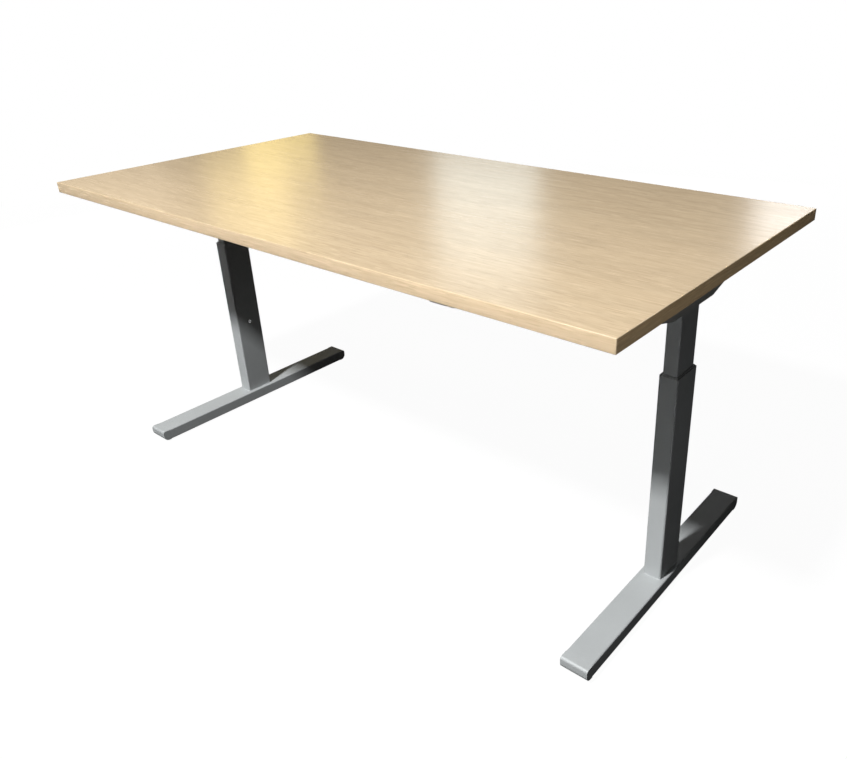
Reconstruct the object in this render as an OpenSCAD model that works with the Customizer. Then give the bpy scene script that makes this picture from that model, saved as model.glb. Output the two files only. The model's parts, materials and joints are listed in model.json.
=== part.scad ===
// Sit-stand desk: a laminated top on a steel head frame, on two three-part lifting columns with T-feet.
// Origin on the floor under the middle of the top. X runs to the right, Y to the back, Z up. Millimetres.

/* [Tabletop] */
// Width of the top from left to right
top_w = 1600; // [1560:10:1800]
// Depth of the top from front to back
top_d = 800; // [760:10:900]
// Thickness of the top
top_t = 25; // [22:1:28]
// Thickness of the glued edge banding
band_t = 2; // [1:0.5:3]
// Height of the working surface above the floor
surface_h = 745; // [740:1:760]

/* [Feet] */
// Length of a foot from nose to nose
foot_l = 680; // [600:10:740]
// Width of the foot tube
foot_w = 60; // [55:1:70]
// Height of the foot tube
foot_h = 30; // [28:1:34]
// Height of the levelling pads under the foot tube
pad_h = 5; // [5:0.5:8]

/* [Columns] */
// Distance of each column from the middle of the desk
column_x = 710; // [690:5:730]
// Width of the outer tube, across the desk
outer_w = 40; // [40:1:44]
// Depth of the outer tube, front to back
outer_d = 80; // [80:1:90]
// Height of the top end of the outer tube above the floor
outer_top = 506; // [500:1:507]
// Width that each tube is smaller than the one around it
stage_step = 5; // [5:0.1:5.4]

/* [Controls] */
// Place of the hand switch along the front edge, from the middle
handset_x = 445; // [300:5:600]
// Distance of the hand switch behind the front edge
handset_back = 38; // [26:1:60]

/* [Hidden] */
$fn = 48;
eps = 1;                              // overrun of every cutting shape

silver = [0.66, 0.68, 0.69];
bright = [0.78, 0.78, 0.80];
dark = [0.14, 0.14, 0.15];
collar_grey = [0.52, 0.53, 0.54];
pale_grey = [0.74, 0.74, 0.72];
oak = [0.86, 0.76, 0.61];

// Heights
under_top = surface_h - top_t;        // underside of the tabletop
foot_top = pad_h + foot_h;            // where the columns stand
head_h = 80;                          // height of the head bracket at the column
head_z = under_top - head_h;          // underside of the head bracket
sheet = 2.5;                          // bracket sheet

// Gaps
fit = 0.02;                           // between parts that are pressed together
shaft_gap = 0.05;                     // round a turning shaft
thread_gap = 0.08;                    // between a screw and its nut
bolt_gap = 0.1;                       // round a bolt in its hole
screw_gap = 0.2;                      // round a wood screw in its hole, and round a plug in its socket
rest_gap = 0.3;                       // between parts that slide past each other
hole_gap = 0.5;                       // round a part that passes through a wide hole

// Foot
foot_wall = 2;
foot_r = 3;                           // round of the foot tube's corners
foot_bore_r = 2;                      // the same inside
nose_l = 20;                          // length of a plastic nose
tube_l = foot_l - 2 * nose_l;
nose_r = 15;                          // lower round of the nose
brow_r = 6;                           // upper round of the nose
plug_l = 15;                          // part of the nose inside the tube
plug_wall = 3;
glide_y = 280;
pad_r = 15;
stem_r = 4;
stem_l = 19;                          // stem of a levelling pad
access_r = 9;                         // hole under the column's screw

// Column tubes
outer_wall = 1.5;
outer_r = 4;                          // round of the outer tube's corners
corner_step = 0.5;                    // each tube inside has corners this much tighter
middle_w = outer_w - stage_step;
middle_d = outer_d - stage_step;
middle_wall = 1.25;
middle_r = outer_r - corner_step;
inner_w = middle_w - stage_step;
inner_d = middle_d - stage_step;
inner_wall = 2;
inner_r = middle_r - corner_step;
collar_rim = 2.5;                     // visible rim of a plastic collar
collar_l = 25;                        // part of a collar inside its tube
middle_z = foot_top + 12;             // lower end of the middle tube
middle_top = outer_top + collar_rim;
middle_floor = 3;                     // plate that closes the middle tube
inner_z = foot_top + 145;             // lower end of the inner tube
plate_t = 4;                          // plate welded on the inner tube
plate_l = 116;
pad_l = 30;                           // length of a glide pad
pad_cover = 0.6;                      // share of a tube's face that its pad covers
pad_lift = 5;                         // height of a pad above the end of its tube
outer_pad_t = 0.7;                    // thickness of the pads on the middle tube
inner_pad_t = 0.95;                   // thickness of the pads on the inner tube
face_screw_z = 259;

// Drive
lead = 12;                            // travel per turn
ridge = 1.0;                          // depth of a thread ridge
riser_r = 10.5;
riser_bore = 9;
riser_top = 386;
riser_flange = [30, 64];              // flange at the foot of the riser tube
riser_foot = 6;                       // thickness of that flange
nut_l = 16;
nut_rim = 4;
push_r = 12.5;
push_bore = 11;
push_top = 428;
push_cap = 4;
hollow_r = 7.8;
hollow_z = foot_top + 20;
hollow_head = 10;
hollow_ring = 4;                      // shoulder that lifts the push tube
spindle_r = 5.25;
spindle_z = 190;
spindle_thread = 450;
thread_bore = spindle_r + thread_gap;
shaft_r = spindle_r - ridge;          // plain shaft at the top of the spindle
shoulder_r = 8;
shoulder_h = 6;
wheel_z = head_z + 24;
wheel_h = 10;
wheel_r = 12.5;
wheel_teeth = 24;
tooth_l = 2.4;
tooth_root = 1.1;                     // half the width of a tooth at its root
tooth_tip = 0.5;                      // half the width of a tooth at its tip
worm_y = 17;                          // the motor's axis, behind the spindle's
worm_r = 4;
worm_l = 24;                          // length of the worm in the gearbox
worm_stem = 20;                       // part of the worm shaft inside the motor
worm_z = wheel_z + wheel_h / 2;
cavity_r = wheel_r + 1;               // gear chamber
cavity_drop = 8;                      // gear chamber below the wheel
bearing_h = 8;
gear_w = 34;
gear_d = 72;
gear_h = 54;
gear_r = 5;                           // round of the gearbox's corners
gear_z = head_z + sheet + plate_t;    // underside of the gearbox
motor_r = 18;
motor_l = 96;
motor_step = 2;                       // each end of the motor is this much slimmer
motor_neck = 8;
motor_tail = 6;

// Head frame
bracket_l = 600;
bracket_end = 20;                     // height of a bracket's tip
bracket_flat = 160;                   // length of its flat underside
flange_w = 15;                        // top flange on each side
motor_hole_r = motor_r + 1.5;
rail_y = 75;
rail_w = 25;
rail_h = 30;
rail_wall = 2;
rail_r = 2.5;                         // round of a rail's corners
rail_x = column_x - outer_w / 2;      // a rail's end, at the bracket's wall
rail_top = under_top - sheet;         // the rails meet the underside of the brackets' flanges
end_plate_t = 4;
end_plate_h = 62;
bolt_zs = [7, 23];                    // bolt heights above an end plate's lower edge
bolt_r = 3;
head_bolt_x = 9;
head_bolt_y = 48;
head_bolt_l = 12;
rail_bolt_l = 9;
screw_r = 2;
screw_bite = 12;                      // length of a screw in the board
screw_ys = [-270, -150, 150, 270];

// Control box
box_l = 220;
box_w = 96;
box_h = 38;
box_wall = 2.5;
box_r = 5;                            // round of the box's corners
box_z = under_top - box_h;
box_ear = 15;                         // lid's ear at each end
box_ear_w = 76;
box_screw_y = 30;
boss_x = 80;
boss_y = 32;
boss_r = 3;
boss_h = 3;
socket_w = 12;
socket_h = 10;
socket_z = box_z + 14;
socket_ys = [-30, 0, 30];
plug_in = 6;                          // part of a lead's plug inside the box
plug_out = 9;                         // part of it outside
inlet_w = 30;
inlet_h = 22;
inlet_depth = 18;
inlet_wall = 3;
inlet_z = box_z + 8;
pin_l = 8;
pin_places = [[-7, 7], [0, 12], [7, 7]];

// Circuit board
board_l = 176;
board_w = 80;
board_t = 1.6;
board_z = box_z + box_wall + boss_h;
transformer = [46, 40, 22];
capacitor_r = 7;
capacitor_h = 20;
fin_count = 6;
fin_step = 6;
fin_t = 2;
fin_d = 32;
fin_h = 18;

// Hand switch
handset_w = 60;
handset_d = 60;
handset_h = 22;
handset_wall = 2;
handset_r = 6;                        // round of the housing's corners
handset_ear = 12;                     // ear on each side
handset_ear_w = 14;
handset_ear_t = 3;
handset_y = -top_d / 2 + handset_back;
handset_mid = handset_y + handset_d / 2;
handset_z = under_top - handset_h;
button_w = 18;
button_h = 10;
button_z = handset_z + 6;
button_spread = 13;
button_out = 2;
button_in = 8;                        // depth of a keycap behind the housing's face
button_stem = 6;                      // length of the plunger behind the keycap

// Leads
lead_r = 2.5;
handset_lead_r = 2;
lead_drop = 4;                        // a clipped lead's centre, below the tabletop
lead_z = under_top - lead_drop;
plug_z = socket_z + socket_h / 2;     // a lead's centre at its plug
plug_end = box_l / 2 + plug_out - eps;
under_rail = rail_top - rail_h - lead_drop;
clip_l = 8;
clip_ear = 5;
clip_t = 2;

// ---- Shapes used more than once ----

// Rectangle with round corners, centred
module round_rect(w, d, r) {
    square([w - 2 * r, d], center = true);
    square([w, d - 2 * r], center = true);
    for (x = [-1, 1], y = [-1, 1])
        translate([x * (w / 2 - r), y * (d / 2 - r)]) circle(r);
}

// Upright tube of round-cornered rectangular section
module box_tube(w, d, wall, r, z0, z1) {
    translate([0, 0, z0]) difference() {
        linear_extrude(z1 - z0) round_rect(w, d, r);
        translate([0, 0, -eps]) linear_extrude(z1 - z0 + 2 * eps)
            round_rect(w - 2 * wall, d - 2 * wall, r - wall / 2);
    }
}

// Upright round tube
module round_tube(r, bore, z0, z1) {
    translate([0, 0, z0]) difference() {
        cylinder(r = r, h = z1 - z0);
        translate([0, 0, -eps]) cylinder(r = bore, h = z1 - z0 + 2 * eps);
    }
}

// Box from its lowest to its highest corner
module block(low, high) {
    translate(low) cube(high - low);
}

// Places a left-hand part, or its mirror image on the right
module side(right) {
    if (right) mirror([1, 0, 0]) translate([-column_x, 0, 0]) children();
    else translate([-column_x, 0, 0]) children();
}

// Hexagon-socket screw along +Z, its head below z = 0
module socket_screw(r, l, head_h) {
    difference() {
        union() {
            translate([0, 0, -head_h]) cylinder(r = 1.65 * r, h = head_h);
            cylinder(r = r, h = l);
        }
        translate([0, 0, -head_h - eps]) cylinder(r = 0.75 * r, h = 0.6 * head_h + eps, $fn = 6);
    }
}

// Upright screw, its thread drawn as rings a turn apart
module ridged_rod(r, l) {
    turns = floor(l / lead);
    slope = lead * 0.15;
    crest = lead * 0.2;
    cylinder(r = r - ridge, h = l);
    for (i = [0 : turns - 1])
        translate([0, 0, (i + 0.5) * lead]) {
            cylinder(r1 = r - ridge, r2 = r, h = slope);
            translate([0, 0, slope]) cylinder(r = r, h = crest);
            translate([0, 0, slope + crest]) cylinder(r1 = r, r2 = r - ridge, h = slope);
        }
}

// ---- Swept leads ----

function unit(v) = v / norm(v);
function tangent(p, i) = unit(p[min(i + 1, len(p) - 1)] - p[max(i - 1, 0)]);
function square_to(n, t) = unit(n - (n * t) * t);

// Replaces each corner of a route by a round bend of the given radius
function rounded(p, r, steps = 5) = [
    p[0],
    for (i = [1 : len(p) - 2])
        let (
            a = unit(p[i - 1] - p[i]),
            b = unit(p[i + 1] - p[i]),
            start = p[i] + a * r,
            end = p[i] + b * r
        )
        for (k = [0 : steps])
            let (t = k / steps)
            start * pow(1 - t, 2) + p[i] * 2 * t * (1 - t) + end * pow(t, 2),
    p[len(p) - 1]
];

// Tube of radius r along the points p; seed is any direction square to its first stretch
module swept(p, r, seed, sides = 10) {
    n = len(p);
    normals = [
        for (i = 0, v = square_to(seed, tangent(p, 0)); i < n;
             i = i + 1, v = i < n ? square_to(v, tangent(p, i)) : v) v
    ];
    rings = [
        for (i = [0 : n - 1], k = [0 : sides - 1])
            let (t = tangent(p, i), u = normals[i], w = cross(t, u), a = 360 * k / sides)
            p[i] + r * (cos(a) * u + sin(a) * w)
    ];
    skin = [
        for (i = [0 : n - 2], k = [0 : sides - 1])
            let (a = i * sides + k, b = i * sides + (k + 1) % sides)
            [a, a + sides, b + sides, b]
    ];
    first = [for (k = [0 : sides - 1]) k];
    last = [for (k = [sides - 1 : -1 : 0]) (n - 1) * sides + k];
    polyhedron(concat(rings), concat(skin, [first], [last]));
}

// ---- Feet, drawn for the left side with the column on the Z axis ----

// Hollow bar of the foot's section along +Y, from y = 0 towards the front
module foot_bar(l, w, h, wall, r, bore_r) {
    rotate([90, 0, 0]) translate([0, pad_h + foot_h / 2, 0]) difference() {
        linear_extrude(l) round_rect(w, h, r);
        translate([0, 0, -eps]) linear_extrude(l + 2 * eps) round_rect(w - 2 * wall, h - 2 * wall, bore_r);
    }
}

module foot() {
    color(silver) difference() {
        translate([0, tube_l / 2, 0]) foot_bar(tube_l, foot_w, foot_h, foot_wall, foot_r, foot_bore_r);
        for (y = [-glide_y, glide_y])
            translate([0, y, pad_h - eps]) cylinder(r = stem_r + thread_gap, h = foot_wall + 2 * eps);
        translate([0, 0, pad_h - eps]) cylinder(r = access_r, h = foot_wall + 2 * eps);
        translate([0, 0, foot_top - foot_wall - eps])
            cylinder(r = stem_r + bolt_gap, h = foot_wall + 2 * eps);
    }
}

// Rear nose: a solid end with two rounds, and a hollow plug inside the tube
module foot_nose() {
    y0 = tube_l / 2;
    y1 = foot_l / 2;
    rotate([90, 0, 90]) translate([0, 0, -foot_w / 2]) linear_extrude(foot_w) intersection() {
        translate([y0, pad_h]) square([nose_l, foot_h]);
        union() {
            translate([y1 - nose_r, pad_h + nose_r]) circle(nose_r);
            translate([y1 - brow_r, foot_top - brow_r]) circle(brow_r);
            translate([y0, pad_h]) square([nose_l - nose_r, foot_h]);
            translate([y0, pad_h + nose_r]) square([nose_l - brow_r, foot_h - nose_r]);
            translate([y0, pad_h + nose_r]) square([nose_l, foot_h - nose_r - brow_r]);
        }
    }
    slack = 2 * (foot_wall + screw_gap);
    translate([0, y0, 0])
        foot_bar(plug_l, foot_w - slack, foot_h - slack, plug_wall, foot_bore_r, foot_bore_r / 2);
}

module foot_caps() {
    color(silver) for (a = [0, 180]) rotate([0, 0, a]) foot_nose();
}

module glide(y) {
    color(dark) translate([0, y, 0]) {
        cylinder(r1 = pad_r - 1, r2 = pad_r, h = pad_h - rest_gap);
        cylinder(r = stem_r, h = pad_h + stem_l);
    }
}

module base_screws() {
    color(bright) {
        translate([0, 0, foot_top - foot_wall]) socket_screw(stem_r, riser_foot, 8);
        translate([outer_w / 2, 0, face_screw_z]) rotate([0, -90, 0]) socket_screw(bolt_r, outer_wall, 2.5);
    }
}

// ---- Lifting column ----

module outer_column() {
    color(silver) difference() {
        box_tube(outer_w, outer_d, outer_wall, outer_r, foot_top, outer_top);
        translate([outer_w / 2 - outer_wall - eps, 0, face_screw_z]) rotate([0, 90, 0])
            cylinder(r = bolt_r + bolt_gap, h = outer_wall + 2 * eps);
    }
}

// Plastic collar in the mouth of a tube: a rim on its edge and a sleeve inside it
module collar(w, d, wall, r, z) {
    bore_w = w - stage_step + 2 * rest_gap;
    bore_d = d - stage_step + 2 * rest_gap;
    color(collar_grey) difference() {
        union() {
            translate([0, 0, z]) linear_extrude(collar_rim) round_rect(w, d, r);
            translate([0, 0, z - collar_l]) linear_extrude(collar_l)
                round_rect(w - 2 * wall - 2 * fit, d - 2 * wall - 2 * fit, r - wall / 2);
        }
        translate([0, 0, z - collar_l - eps]) linear_extrude(collar_l + collar_rim + 2 * eps)
            round_rect(bore_w, bore_d, r - corner_step);
    }
}

module lower_collar() {
    collar(outer_w, outer_d, outer_wall, outer_r, outer_top);
}

module upper_collar() {
    collar(middle_w, middle_d, middle_wall, middle_r, middle_top);
}

// Four pads of thickness t round the lower end, at z, of a tube of width w and depth d
module glide_pads(w, d, t, z) {
    color(bright) for (s = [-1, 1]) {
        translate([s * ((w + t) / 2 + fit), 0, z + pad_lift + pad_l / 2])
            cube([t, d * pad_cover, pad_l], center = true);
        translate([0, s * ((d + t) / 2 + fit), z + pad_lift + pad_l / 2])
            cube([w * pad_cover, t, pad_l], center = true);
    }
}

module middle_pads() {
    glide_pads(middle_w, middle_d, outer_pad_t, middle_z);
}

module inner_pads() {
    glide_pads(inner_w, inner_d, inner_pad_t, inner_z);
}

module middle_column() {
    color(silver) {
        box_tube(middle_w, middle_d, middle_wall, middle_r, middle_z, middle_top);
        difference() {
            translate([0, 0, middle_z]) linear_extrude(middle_floor)
                round_rect(middle_w - middle_wall, middle_d - middle_wall, inner_r);
            translate([0, 0, middle_z - eps]) cylinder(r = push_bore, h = middle_floor + 2 * eps);
        }
    }
}

module inner_column() {
    plate_z = head_z + sheet;
    color(silver) {
        box_tube(inner_w, inner_d, inner_wall, inner_r, inner_z, plate_z + plate_t);
        difference() {
            block([-gear_w / 2, -plate_l / 2, plate_z], [gear_w / 2, plate_l / 2, plate_z + plate_t]);
            translate([0, 0, plate_z - eps]) cylinder(r = push_bore + hole_gap, h = plate_t + 2 * eps);
            for (x = [-1, 1], y = [-1, 1])
                translate([x * head_bolt_x, y * head_bolt_y, plate_z - eps])
                    cylinder(r = bolt_r + bolt_gap, h = plate_t + 2 * eps);
        }
    }
}

module riser_tube() {
    w = riser_flange[0];
    d = riser_flange[1];
    color(bright) difference() {
        union() {
            block([-w / 2, -d / 2, foot_top], [w / 2, d / 2, foot_top + riser_foot]);
            translate([0, 0, foot_top]) cylinder(r = riser_r, h = riser_top - foot_top);
        }
        translate([0, 0, foot_top - eps]) cylinder(r = stem_r + bolt_gap, h = riser_foot + 2 * eps);
        translate([0, 0, foot_top + riser_foot]) cylinder(r = riser_bore, h = riser_top);
    }
}

module lower_nut() {
    color("goldenrod") difference() {
        union() {
            translate([0, 0, riser_top]) cylinder(r = riser_r, h = nut_rim);
            translate([0, 0, riser_top - nut_l]) cylinder(r = riser_bore - fit, h = nut_l);
        }
        translate([0, 0, riser_top - nut_l - eps])
            cylinder(r = hollow_r + thread_gap, h = nut_l + nut_rim + 2 * eps);
    }
}

module push_tube() {
    color(bright) {
        round_tube(push_r, push_bore, middle_z + middle_floor, push_top);
        round_tube(push_r, hollow_r + rest_gap, push_top - push_cap, push_top);
    }
}

// Turns in the lower nut, and holds the push tube between its head and a shoulder
module hollow_spindle() {
    ring_z = push_top - push_cap - rest_gap - hollow_ring;
    color(bright) difference() {
        union() {
            translate([0, 0, hollow_z]) ridged_rod(hollow_r, push_top - hollow_z);
            translate([0, 0, ring_z]) cylinder(r = push_bore - hole_gap, h = hollow_ring);
            translate([0, 0, ring_z]) cylinder(r = hollow_r - ridge, h = push_top + hollow_head - ring_z);
            translate([0, 0, push_top + rest_gap]) cylinder(r = push_bore, h = hollow_head);
        }
        translate([0, 0, hollow_z - eps])
            cylinder(r = thread_bore + rest_gap, h = push_top - hollow_z - lead);
        translate([0, 0, hollow_z]) cylinder(r = thread_bore, h = push_top);
    }
}

module spindle() {
    color(bright) {
        translate([0, 0, spindle_z]) ridged_rod(spindle_r, spindle_thread);
        translate([0, 0, spindle_z]) cylinder(r = shaft_r, h = wheel_z + wheel_h + bearing_h - spindle_z);
        translate([0, 0, wheel_z - shoulder_h]) cylinder(r = shoulder_r, h = shoulder_h - fit);
    }
}

module worm_wheel() {
    root_r = wheel_r - tooth_l;
    color("goldenrod") translate([0, 0, wheel_z]) linear_extrude(wheel_h) difference() {
        union() {
            circle(root_r);
            for (i = [0 : wheel_teeth - 1]) rotate(i * 360 / wheel_teeth)
                polygon([
                    [root_r - eps, -tooth_root], [wheel_r, -tooth_tip],
                    [wheel_r, tooth_tip], [root_r - eps, tooth_root]
                ]);
        }
        circle(shaft_r + fit);
    }
}

module worm_shaft() {
    color(bright) translate([-worm_l / 2, worm_y, worm_z]) rotate([0, 90, 0])
        cylinder(r = worm_r, h = worm_l / 2 + gear_w / 2 + worm_stem);
}

module thrust_bearing() {
    low = wheel_z + wheel_h + thread_gap;
    color(bright) round_tube(cavity_r - fit, shaft_r + shaft_gap, low, wheel_z + wheel_h + bearing_h - fit);
}

module gearbox() {
    color(dark) difference() {
        translate([0, 0, gear_z]) linear_extrude(gear_h) round_rect(gear_w, gear_d, gear_r);
        translate([0, 0, gear_z - eps]) cylinder(r = spindle_r + hole_gap, h = gear_h);
        translate([0, 0, wheel_z - cavity_drop])
            cylinder(r = cavity_r, h = cavity_drop + wheel_h + bearing_h);
        translate([-worm_l / 2 - hole_gap, worm_y, worm_z]) rotate([0, 90, 0])
            cylinder(r = worm_r + 2 * hole_gap, h = gear_w);
    }
}

module motor() {
    color(dark) translate([gear_w / 2, worm_y, worm_z]) rotate([0, 90, 0]) difference() {
        union() {
            cylinder(r = motor_r - 2 * motor_step, h = motor_l);
            cylinder(r = motor_r - motor_step, h = motor_neck + eps);
            translate([0, 0, motor_neck]) cylinder(r = motor_r, h = motor_l - motor_neck - motor_tail);
        }
        translate([0, 0, -eps]) cylinder(r = worm_r + shaft_gap, h = worm_stem + hole_gap + eps);
    }
}

// ---- Head frame ----

// Side outline of a bracket, raised by lift and shortened by cut at each end
module bracket_outline(lift, cut) {
    half = bracket_l / 2 - cut;
    tip = under_top - bracket_end + lift;
    belly = head_z + lift;
    polygon([
        [-half, under_top + (lift > 0 ? eps : 0)], [-half, tip], [-bracket_flat / 2, belly],
        [bracket_flat / 2, belly], [half, tip], [half, under_top + (lift > 0 ? eps : 0)]
    ]);
}

module side_bracket() {
    wide = outer_w / 2 + flange_w;
    color(silver) difference() {
        union() {
            rotate([90, 0, 90]) translate([0, 0, -outer_w / 2])
                linear_extrude(outer_w) bracket_outline(0, 0);
            block([-wide, -bracket_l / 2, under_top - sheet], [wide, bracket_l / 2, under_top]);
        }
        rotate([90, 0, 90]) translate([0, 0, -outer_w / 2 + sheet])
            linear_extrude(outer_w - 2 * sheet) bracket_outline(sheet, sheet);
        translate([0, 0, head_z - eps]) linear_extrude(sheet + 2 * eps)
            round_rect(inner_w + 2 * hole_gap, inner_d + 2 * hole_gap, inner_r);
        translate([0, worm_y, worm_z]) rotate([0, 90, 0]) cylinder(r = motor_hole_r, h = outer_w);
        for (x = [-1, 1], y = [-1, 1])
            translate([x * head_bolt_x, y * head_bolt_y, head_z - eps])
                cylinder(r = bolt_r + bolt_gap, h = sheet + 2 * eps);
        for (y = [-rail_y, rail_y], z = bolt_zs)
            translate([outer_w / 2 - sheet - eps, y, rail_top - end_plate_h + z]) rotate([0, 90, 0])
                cylinder(r = bolt_r + bolt_gap, h = sheet + 2 * eps);
        for (x = [-1, 1], y = screw_ys)
            translate([x * (outer_w + flange_w) / 2, y, under_top - sheet - eps])
                cylinder(r = screw_r + screw_gap, h = sheet + 2 * eps);
    }
}

module crossbeam_rails() {
    rail_l = 2 * (rail_x - end_plate_t);
    color(silver) for (y = [-rail_y, rail_y]) {
        translate([-rail_l / 2, y, rail_top - rail_h / 2]) rotate([0, 90, 0]) difference() {
            linear_extrude(rail_l) round_rect(rail_h, rail_w, rail_r);
            translate([0, 0, -eps]) linear_extrude(rail_l + 2 * eps)
                round_rect(rail_h - 2 * rail_wall, rail_w - 2 * rail_wall, rail_r - rail_wall / 2);
        }
        for (s = [-1, 1]) difference() {
            translate([s * (rail_x - end_plate_t / 2), y, rail_top - end_plate_h / 2])
                cube([end_plate_t, rail_w, end_plate_h], center = true);
            for (z = bolt_zs)
                translate([s * rail_x, y, rail_top - end_plate_h + z]) rotate([0, -s * 90, 0])
                    translate([0, 0, -eps]) cylinder(r = bolt_r + bolt_gap, h = end_plate_t + 2 * eps);
        }
    }
}

module frame_bolts() {
    head = 4;
    color(bright) for (s = [-1, 1]) {
        for (x = [-1, 1], y = [-1, 1])
            translate([s * column_x + x * head_bolt_x, y * head_bolt_y, head_z])
                socket_screw(bolt_r, head_bolt_l, head);
        for (y = [-rail_y, rail_y], z = bolt_zs)
            translate([s * (rail_x + sheet), y, rail_top - end_plate_h + z]) rotate([0, -s * 90, 0])
                socket_screw(bolt_r, rail_bolt_l, head);
    }
}

// ---- Tabletop ----

// Places of the screws in the board, each with the thickness of what it holds
function screw_places() = concat(
    [for (s = [-1, 1], x = [-1, 1], y = screw_ys) [s * column_x + x * (outer_w + flange_w) / 2, y, sheet]],
    [for (x = [-1, 1], y = [-1, 1]) [x * (box_l + box_ear) / 2, y * box_screw_y, box_wall]],
    [for (x = [-1, 1]) [handset_x + x * (handset_w + handset_ear) / 2, handset_mid, handset_ear_t]]
);

module tabletop_board() {
    color(oak) difference() {
        block([-top_w / 2 + band_t, -top_d / 2 + band_t, under_top],
              [top_w / 2 - band_t, top_d / 2 - band_t, surface_h]);
        for (p = screw_places())
            translate([p[0], p[1], under_top - eps])
                cylinder(r = screw_r, h = screw_bite + 2 * eps, $fn = 24);
    }
}

module edge_bands() {
    middle = under_top + top_t / 2;
    side_l = top_d - 2 * (band_t + fit);
    color(oak) for (s = [-1, 1]) {
        translate([0, s * (top_d - band_t) / 2, middle]) cube([top_w, band_t, top_t], center = true);
        translate([s * (top_w - band_t) / 2, 0, middle]) cube([band_t, side_l, top_t], center = true);
    }
}

module tabletop_screws() {
    color(bright) for (p = screw_places())
        translate([p[0], p[1], under_top - p[2]]) socket_screw(screw_r - fit, p[2] + screw_bite, 2.5);
}

// ---- Electronics ----

module control_box() {
    color(dark) difference() {
        translate([0, 0, box_z]) linear_extrude(box_h - box_wall) round_rect(box_l, box_w, box_r);
        translate([0, 0, box_z + box_wall]) linear_extrude(box_h)
            round_rect(box_l - 2 * box_wall, box_w - 2 * box_wall, box_r - box_wall);
        block([-box_l / 2 - eps, -inlet_w / 2 - bolt_gap, inlet_z - bolt_gap],
              [-box_l / 2 + box_wall + eps, inlet_w / 2 + bolt_gap, inlet_z + inlet_h + bolt_gap]);
        for (y = socket_ys)
            block([box_l / 2 - box_wall - eps, y - socket_w / 2 - screw_gap, socket_z - screw_gap],
                  [box_l / 2 + eps, y + socket_w / 2 + screw_gap, socket_z + socket_h + screw_gap]);
    }
    color(dark) for (x = [-boss_x, boss_x], y = [-boss_y, boss_y])
        translate([x, y, box_z + box_wall]) cylinder(r = boss_r, h = boss_h);
}

module control_box_lid() {
    color(dark) difference() {
        translate([0, 0, under_top - box_wall]) linear_extrude(box_wall) {
            round_rect(box_l, box_w, box_r);
            round_rect(box_l + 2 * box_ear, box_ear_w, box_r);
        }
        for (x = [-1, 1], y = [-1, 1])
            translate([x * (box_l + box_ear) / 2, y * box_screw_y, under_top - box_wall - eps])
                cylinder(r = screw_r + screw_gap, h = box_wall + 2 * eps);
    }
}

// Board with a transformer, two capacitors and a row of cooling fins
module control_board() {
    top = board_z + board_t;
    color("seagreen") block([-board_l / 2, -board_w / 2, board_z], [board_l / 2, board_w / 2, top]);
    color(dark) {
        translate([-50, -34, top]) cube(transformer);
        for (x = [16, 34]) translate([x, -24, top]) cylinder(r = capacitor_r, h = capacitor_h);
    }
    color(bright) for (i = [0 : fin_count - 1])
        translate([10 + i * fin_step, 4, top]) cube([fin_t, fin_d, fin_h]);
}

module mains_inlet() {
    x0 = -box_l / 2;
    x1 = x0 + inlet_depth;
    color(dark) difference() {
        block([x0, -inlet_w / 2, inlet_z], [x1, inlet_w / 2, inlet_z + inlet_h]);
        block([x0 - eps, -inlet_w / 2 + inlet_wall, inlet_z + inlet_wall],
              [x1 - inlet_wall, inlet_w / 2 - inlet_wall, inlet_z + inlet_h - inlet_wall]);
    }
    color(bright) for (p = pin_places)
        translate([x1 - 2 - pin_l, p[0] - 1, inlet_z + p[1] - 2]) cube([pin_l, 2, 4]);
}

module handset_housing() {
    color(pale_grey) difference() {
        union() {
            translate([handset_x, handset_mid, handset_z]) linear_extrude(handset_h)
                round_rect(handset_w, handset_d, handset_r);
            translate([handset_x, handset_mid, under_top - handset_ear_t]) linear_extrude(handset_ear_t)
                round_rect(handset_w + 2 * handset_ear, handset_ear_w, handset_r - handset_wall);
        }
        translate([handset_x, handset_mid, handset_z + handset_wall]) linear_extrude(handset_h)
            round_rect(handset_w - 2 * handset_wall, handset_d - 2 * handset_wall, handset_r - handset_wall);
        for (s = [-1, 1]) translate([handset_x + s * button_spread, handset_y, button_z])
            block([-button_w / 2 - rest_gap, -eps, -rest_gap],
                  [button_w / 2 + rest_gap, handset_wall + eps, button_h + rest_gap]);
        translate([handset_x, handset_y + handset_d - handset_wall - eps, lead_z - lead_drop])
            block([-handset_lead_r - eps, 0, 0], [handset_lead_r + eps, handset_wall + 2 * eps, handset_h]);
        for (s = [-1, 1]) translate([handset_x + s * (handset_w + handset_ear) / 2, handset_mid, 0])
            translate([0, 0, under_top - handset_ear_t - eps])
                cylinder(r = screw_r + screw_gap, h = handset_ear_t + 2 * eps);
    }
}

// Keycap with its plunger; s is -1 for up and 1 for down
module button(s) {
    border = 3;
    color(dark) translate([handset_x + s * button_spread, handset_y, button_z]) {
        block([-button_w / 2, -button_out, 0], [button_w / 2, button_in, button_h]);
        block([-button_w / 2 + border, button_in - eps, border],
              [button_w / 2 - border, button_in + button_stem, button_h - border]);
    }
}

// Route of a motor lead, from the motor's rear end to its socket in the control box
function motor_route(s) = let (x0 = column_x - gear_w / 2 - motor_l) s > 0 ? [
    [x0, worm_y, worm_z], [x0 - 40, worm_y, worm_z], [x0 - 60, worm_y, lead_z], [260, worm_y, lead_z],
    [200, 30, lead_z], [165, 30, lead_z], [140, 30, plug_z], [plug_end, 30, plug_z]
] : [
    [-x0, worm_y, worm_z], [40 - x0, worm_y, worm_z], [60 - x0, worm_y, lead_z], [-260, worm_y, lead_z],
    [-200, -54, lead_z], [150, -54, lead_z], [175, -30, lead_z], [150, -30, plug_z], [plug_end, -30, plug_z]
];

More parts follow.
